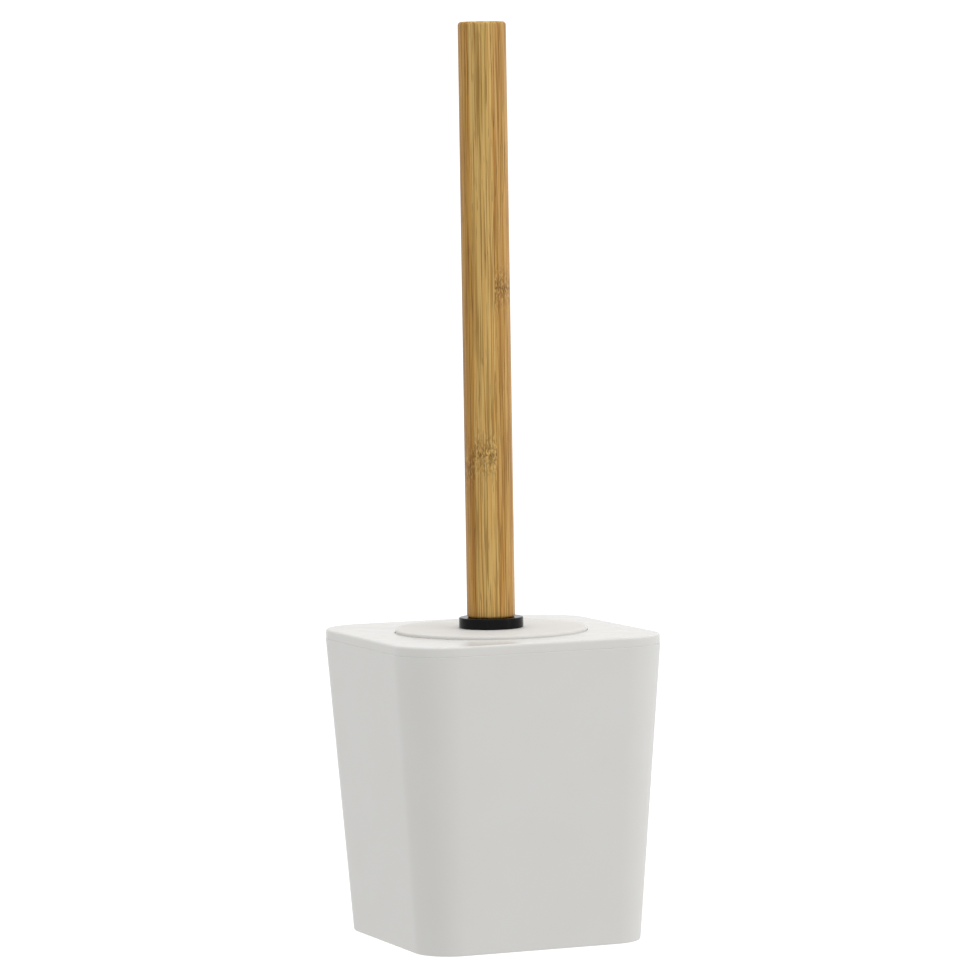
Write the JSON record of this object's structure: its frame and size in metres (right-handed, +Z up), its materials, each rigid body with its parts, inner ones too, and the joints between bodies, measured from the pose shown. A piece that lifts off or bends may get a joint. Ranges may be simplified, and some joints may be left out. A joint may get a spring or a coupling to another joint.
{
  "type": "toilet brush holder",
  "caption": "Square tapered pot with rounded corners, a lift-off cover and a round splash lid, holding a tufted brush on an upright round bamboo handle.",
  "frame": {"origin": "centre of the pot's foot, on the floor", "axes": "+Z up along the pot, brush and handle; +X and +Y square to the pot's sides"},
  "size_m": [0.1168, 0.1168, 0.38],
  "materials": {
    "pot_plastic": "satin",
    "cover_plastic": "semi-gloss",
    "lid_plastic": "satin",
    "core_plastic": "satin",
    "bristles": "fine nylon filaments",
    "anchor_wire": "flat wire",
    "collar_plastic": "gloss",
    "bamboo_dark": "clear satin lacquer",
    "bamboo_pale": "clear satin lacquer",
    "bamboo_warm": "clear satin lacquer",
    "insert_metal": "machined",
    "stud_metal": "zinc plated"
  },
  "bodies": {
    "pot": {"pot_body": "pot_plastic"},
    "cover": {"top_cover": "cover_plastic"},
    "lid": {"splash_lid": "lid_plastic"},
    "brush": {"brush_core": "core_plastic", "bristle_row_01": "bristles", "bristle_row_02": "bristles", "bristle_row_03": "bristles", "bristle_row_04": "bristles", "bristle_row_05": "bristles", "bristle_row_06": "bristles", "bristle_row_07": "bristles", "bristle_row_08": "bristles", "bristle_row_09": "bristles", "bristle_tip": "bristles", "tuft_anchors": "anchor_wire", "collar": "collar_plastic", "handle_strip_left": "bamboo_dark", "handle_strip_middle": "bamboo_pale", "handle_strip_right": "bamboo_warm", "threaded_insert": "insert_metal", "stud": "stud_metal"}
  },
  "joints": [
    {"name": "cover_lift", "type": "slide", "parent": "pot", "child": "cover", "axis": [0, 0, 1], "range_m": [0, 0.13]},
    {"name": "brush_lift", "type": "slide", "parent": "cover", "child": "lid", "axis": [0, 0, 1], "range_m": [0, 0.13]},
    {"name": "brush_spin", "type": "hinge", "parent": "lid", "child": "brush", "pos_m": [0, 0, 0.1263], "axis": [0, 0, 1], "continuous": true}
  ]
}
